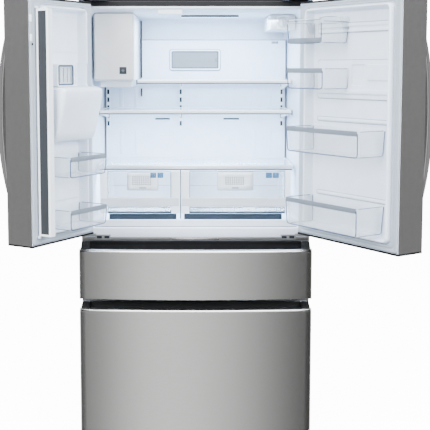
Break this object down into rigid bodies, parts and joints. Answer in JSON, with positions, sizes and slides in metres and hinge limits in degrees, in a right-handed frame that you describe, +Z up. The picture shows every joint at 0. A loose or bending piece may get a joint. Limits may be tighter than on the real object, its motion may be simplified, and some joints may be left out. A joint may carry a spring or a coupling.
{
  "type": "french door refrigerator",
  "caption": "Wide refrigerator with french doors standing open over a middle drawer and a freezer drawer, with shelves, crispers, door bins, an ice maker and a door dispenser.",
  "frame": {"origin": "on the floor, under the middle of the whole object's box with both doors standing open; the cabinet's centre line lies 53 mm to the left of it and the plane of the drawer fronts 155 mm in front of it", "axes": "+Z up; the front faces -Y; +X is to the right of a person facing the front"},
  "size_m": [1.5577, 1.1574, 1.778],
  "materials": {
    "cabinet_paint": "satin dark grey paint",
    "zinc_steel": "galvanised steel",
    "door_steel": "satin, fine vertical brushing",
    "drawer_steel": "satin, fine horizontal brushing",
    "handle_steel": "satin",
    "liner_white": "satin",
    "part_white": "gloss",
    "warm_grey": "satin",
    "clear": "gloss",
    "shelf_glass": "gloss",
    "seal_grey": "matte",
    "dark_plastic": "satin",
    "black_glass": "gloss",
    "strip_grey": "matte",
    "foam": "rigid foam",
    "copper_black": "satin black",
    "filter_silver": "satin",
    "lamp": "gloss",
    "rubber_black": "matte"
  },
  "bodies": {
    "cabinet": {"cabinet_wrapper": "cabinet_paint", "back_panel": "zinc_steel", "base_frame": "zinc_steel", "cabinet_insulation": "foam", "fresh_food_liner": "liner_white", "flex_liner": "liner_white", "freezer_liner": "liner_white", "front_frame": "cabinet_paint", "top_trim": "dark_plastic", "hinge_brackets": "zinc_steel", "duct_panel": "liner_white", "air_filter_cover": "filter_silver", "shelf_ladders": "part_white", "shelf_glasses": "shelf_glass", "shelf_trims": "part_white", "ice_maker_box": "warm_grey", "ice_bucket": "part_white", "water_filter_housing": "part_white", "lamp_lens": "lamp", "mullion_guide": "part_white", "drawer_slides": "zinc_steel", "toe_grille": "dark_plastic", "levelling_legs": "rubber_black", "cooling_system": "copper_black", "drain_pan": "dark_plastic", "inlet_valve": "part_white", "power_inlet": "dark_plastic"},
    "left_door": {"left_door_shell": "door_steel", "left_door_liner": "liner_white", "left_door_gasket": "seal_grey", "left_door_caps": "dark_plastic", "left_door_handle": "handle_steel", "dispenser_housing": "dark_plastic", "dispenser_panel": "black_glass", "dispenser_tray": "dark_plastic", "ice_chute": "part_white", "left_door_bins": "clear"},
    "mullion": {"mullion_bar": "part_white", "mullion_strip": "strip_grey"},
    "paddle": {"dispenser_paddle": "dark_plastic"},
    "right_door": {"right_door_shell": "door_steel", "right_door_liner": "liner_white", "right_door_gasket": "seal_grey", "right_door_caps": "dark_plastic", "right_door_handle": "handle_steel", "right_door_bins": "clear", "dairy_bin": "clear"},
    "dairy_lid": {"dairy_lid": "clear"},
    "left_crisper": {"crisper_left": "clear"},
    "right_crisper": {"crisper_right": "clear"},
    "middle_drawer": {"flex_front": "drawer_steel", "flex_pull": "dark_plastic", "flex_gasket": "seal_grey", "flex_tub": "part_white"},
    "freezer_drawer": {"freezer_front": "drawer_steel", "freezer_pull": "dark_plastic", "freezer_gasket": "seal_grey", "freezer_tub": "part_white"},
    "rollers": {"rear_rollers": "rubber_black"},
    "fan": {"condenser_fan": "dark_plastic"}
  },
  "joints": [
    {"name": "left_door_swing", "type": "hinge", "parent": "cabinet", "child": "left_door", "pos_m": [-0.50032, -0.10178, 1.3], "axis": [0, 0, -1], "range_deg": [-121.2, 8.8]},
    {"name": "right_door_swing", "type": "hinge", "parent": "cabinet", "child": "right_door", "pos_m": [0.39348, -0.10178, 1.3], "axis": [0, 0, 1], "range_deg": [-123.1, 6.9]},
    {"name": "mullion_fold", "type": "hinge", "parent": "left_door", "child": "mullion", "pos_m": [-0.61574, -0.40587, 1.303], "axis": [0, 0, 1], "range_deg": [-90, 0]},
    {"name": "dispenser_paddle_push", "type": "hinge", "parent": "left_door", "child": "paddle", "pos_m": [-0.58396, -0.24624, 1.334], "axis": [-0.518, -0.8554, 0], "range_deg": [0, 10], "stiffness_Nm_per_rad": 0.5},
    {"name": "dairy_lid_lift", "type": "hinge", "parent": "right_door", "child": "dairy_lid", "pos_m": [0.42475, -0.26749, 1.688], "axis": [-0.5461, 0.8377, 0], "range_deg": [0, 55]},
    {"name": "left_crisper_slide", "type": "slide", "parent": "cabinet", "child": "left_crisper", "axis": [0, -1, 0], "range_m": [0, 0.24]},
    {"name": "right_crisper_slide", "type": "slide", "parent": "cabinet", "child": "right_crisper", "axis": [0, -1, 0], "range_m": [0, 0.24]},
    {"name": "middle_drawer_slide", "type": "slide", "parent": "cabinet", "child": "middle_drawer", "axis": [0, -1, 0], "range_m": [0, 0.42]},
    {"name": "freezer_drawer_slide", "type": "slide", "parent": "cabinet", "child": "freezer_drawer", "axis": [0, -1, 0], "range_m": [0, 0.34]},
    {"name": "rear_roller_spin", "type": "hinge", "parent": "cabinet", "child": "rollers", "pos_m": [-0.05342, 0.50453, 0.025], "axis": [1, 0, 0], "continuous": true},
    {"name": "condenser_fan_spin", "type": "hinge", "parent": "cabinet", "child": "fan", "pos_m": [-0.18342, 0.44453, 0.15], "axis": [1, 0, 0], "continuous": true}
  ]
}
